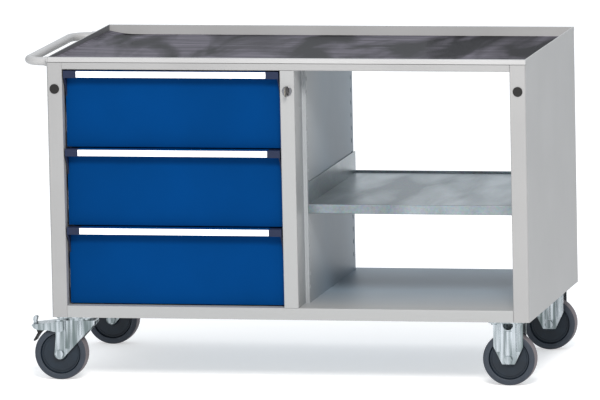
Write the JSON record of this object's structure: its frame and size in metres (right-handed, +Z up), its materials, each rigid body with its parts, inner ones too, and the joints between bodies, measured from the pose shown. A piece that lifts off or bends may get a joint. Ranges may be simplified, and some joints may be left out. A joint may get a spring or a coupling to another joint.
{
  "type": "mobile workbench with drawers",
  "caption": "Mobile steel workbench: matted tray worktop, blue drawers with grip strips, open niche with galvanised shelf, push handle, swivel and fixed castors",
  "frame": {"origin": "on the floor, at the centre of the bounding box's base", "axes": "+X along the bench towards the fixed castors (the push handle is at -X), -Y is the side the drawers open to, +Z up"},
  "size_m": [1.211, 0.677, 0.77],
  "materials": {
    "grey_powder_coat": "light grey textured powder coat",
    "blue_powder_coat": "gentian blue powder coat, fine texture",
    "white_label_strip": "white label strip behind clear plastic",
    "dark_blue_plastic": "moulded dark blue plastic",
    "black_rubber": "finely ribbed rubber mat",
    "black_plastic": "moulded black plastic",
    "chrome": "polished chrome plate",
    "nickel_key": "nickel plated brass key",
    "galvanised_steel": "galvanised sheet with faint rolling streaks",
    "zinc_plated_steel": "bright zinc plated pressed steel",
    "bright_runner_steel": "bright zinc plated rolled channel",
    "wheel_rim_plastic": "dark blue grey moulded plastic",
    "wheel_tread_rubber": "dark grey moulded rubber tread"
  },
  "bodies": {
    "cabinet": {"base_channels": "grey_powder_coat", "base_panel": "grey_powder_coat", "cabinet_runners": "bright_runner_steel", "castor_bolts": "zinc_plated_steel", "drawer_bay_back": "grey_powder_coat", "drawer_uprights": "grey_powder_coat", "fixed_axles": "zinc_plated_steel", "fixed_brackets": "zinc_plated_steel", "hole_plugs": "black_plastic", "kingpins": "zinc_plated_steel", "left_side_panel": "grey_powder_coat", "lock_barrel": "chrome", "partition_wall": "grey_powder_coat", "push_handle": "grey_powder_coat", "right_liner": "grey_powder_coat", "right_side_panel": "grey_powder_coat", "rubber_mat": "black_rubber", "shelf": "galvanised_steel", "shelf_clips": "galvanised_steel", "swivel_plates": "zinc_plated_steel", "top_rails": "grey_powder_coat", "worktop_tray": "grey_powder_coat"},
    "drawer_1": {"drawer_box_1": "blue_powder_coat", "drawer_front_1": "blue_powder_coat", "label_strip_1": "white_label_strip", "grip_caps_1": "dark_blue_plastic", "drawer_runners_1": "bright_runner_steel"},
    "runner_1": {"middle_runners_1": "bright_runner_steel"},
    "drawer_2": {"drawer_box_2": "blue_powder_coat", "drawer_front_2": "blue_powder_coat", "label_strip_2": "white_label_strip", "grip_caps_2": "dark_blue_plastic", "drawer_runners_2": "bright_runner_steel"},
    "runner_2": {"middle_runners_2": "bright_runner_steel"},
    "drawer_3": {"drawer_box_3": "blue_powder_coat", "drawer_front_3": "blue_powder_coat", "label_strip_3": "white_label_strip", "grip_caps_3": "dark_blue_plastic", "drawer_runners_3": "bright_runner_steel"},
    "runner_3": {"middle_runners_3": "bright_runner_steel"},
    "lock_rotor": {"lock_core": "chrome", "lock_key": "nickel_key", "lock_cam": "galvanised_steel"},
    "lock_bar": {"lock_bar": "galvanised_steel"},
    "swivel_front": {"swivel_fork_front": "zinc_plated_steel", "swivel_axle_front": "zinc_plated_steel"},
    "pedal_front": {"brake_pedal_front": "zinc_plated_steel", "brake_shoe_front": "black_plastic"},
    "swivel_rear": {"swivel_fork_rear": "zinc_plated_steel", "swivel_axle_rear": "zinc_plated_steel"},
    "pedal_rear": {"brake_pedal_rear": "zinc_plated_steel", "brake_shoe_rear": "black_plastic"},
    "wheel_swivel_front": {"wheel_rim_swivel_front": "wheel_rim_plastic", "wheel_tread_swivel_front": "wheel_tread_rubber"},
    "wheel_swivel_rear": {"wheel_rim_swivel_rear": "wheel_rim_plastic", "wheel_tread_swivel_rear": "wheel_tread_rubber"},
    "wheel_fixed_front": {"wheel_rim_fixed_front": "wheel_rim_plastic", "wheel_tread_fixed_front": "wheel_tread_rubber"},
    "wheel_fixed_rear": {"wheel_rim_fixed_rear": "wheel_rim_plastic", "wheel_tread_fixed_rear": "wheel_tread_rubber"}
  },
  "joints": [
    {"name": "drawer_1_slide", "type": "slide", "parent": "cabinet", "child": "drawer_1", "axis": [0, -1, 0], "range_m": [0, 0.52]},
    {"name": "runner_1_slide", "type": "slide", "parent": "cabinet", "child": "runner_1", "axis": [0, -1, 0], "range_m": [0, 0.26]},
    {"name": "drawer_2_slide", "type": "slide", "parent": "cabinet", "child": "drawer_2", "axis": [0, -1, 0], "range_m": [0, 0.52]},
    {"name": "runner_2_slide", "type": "slide", "parent": "cabinet", "child": "runner_2", "axis": [0, -1, 0], "range_m": [0, 0.26]},
    {"name": "drawer_3_slide", "type": "slide", "parent": "cabinet", "child": "drawer_3", "axis": [0, -1, 0], "range_m": [0, 0.52]},
    {"name": "runner_3_slide", "type": "slide", "parent": "cabinet", "child": "runner_3", "axis": [0, -1, 0], "range_m": [0, 0.26]},
    {"name": "lock_bar_slide", "type": "slide", "parent": "cabinet", "child": "lock_bar", "axis": [0, 0, 1], "range_m": [0, 0.008]},
    {"name": "lock_turn", "type": "hinge", "parent": "cabinet", "child": "lock_rotor", "pos_m": [0.03575, -0.3115, 0.694], "axis": [0, 1, 0], "range_deg": [0, 90]},
    {"name": "castor_front_swivel", "type": "hinge", "parent": "cabinet", "child": "swivel_front", "pos_m": [-0.4895, -0.254, 0.152], "axis": [0, 0, 1], "continuous": true},
    {"name": "brake_front_press", "type": "hinge", "parent": "swivel_front", "child": "pedal_front", "pos_m": [-0.5355, -0.254, 0.1285], "axis": [0, -1, 0], "range_deg": [0, 4]},
    {"name": "castor_rear_swivel", "type": "hinge", "parent": "cabinet", "child": "swivel_rear", "pos_m": [-0.4895, 0.281, 0.152], "axis": [0, 0, 1], "continuous": true},
    {"name": "brake_rear_press", "type": "hinge", "parent": "swivel_rear", "child": "pedal_rear", "pos_m": [-0.5355, 0.281, 0.1285], "axis": [0, -1, 0], "range_deg": [0, 4]},
    {"name": "wheel_swivel_front_spin", "type": "hinge", "parent": "swivel_front", "child": "wheel_swivel_front", "pos_m": [-0.5315, -0.254, 0.0625], "axis": [0, 1, 0], "continuous": true},
    {"name": "wheel_swivel_rear_spin", "type": "hinge", "parent": "swivel_rear", "child": "wheel_swivel_rear", "pos_m": [-0.5315, 0.281, 0.0625], "axis": [0, 1, 0], "continuous": true},
    {"name": "wheel_fixed_front_spin", "type": "hinge", "parent": "cabinet", "child": "wheel_fixed_front", "pos_m": [0.543, -0.254, 0.0625], "axis": [0, 1, 0], "continuous": true},
    {"name": "wheel_fixed_rear_spin", "type": "hinge", "parent": "cabinet", "child": "wheel_fixed_rear", "pos_m": [0.543, 0.281, 0.0625], "axis": [0, 1, 0], "continuous": true}
  ],
  "couplings": [
    {"joint": "runner_1_slide", "follows": "drawer_1_slide", "ratio": 0.5},
    {"joint": "runner_2_slide", "follows": "drawer_2_slide", "ratio": 0.5},
    {"joint": "runner_3_slide", "follows": "drawer_3_slide", "ratio": 0.5},
    {"joint": "lock_turn", "follows": "lock_bar_slide", "rad_per_m": 196.34}
  ]
}
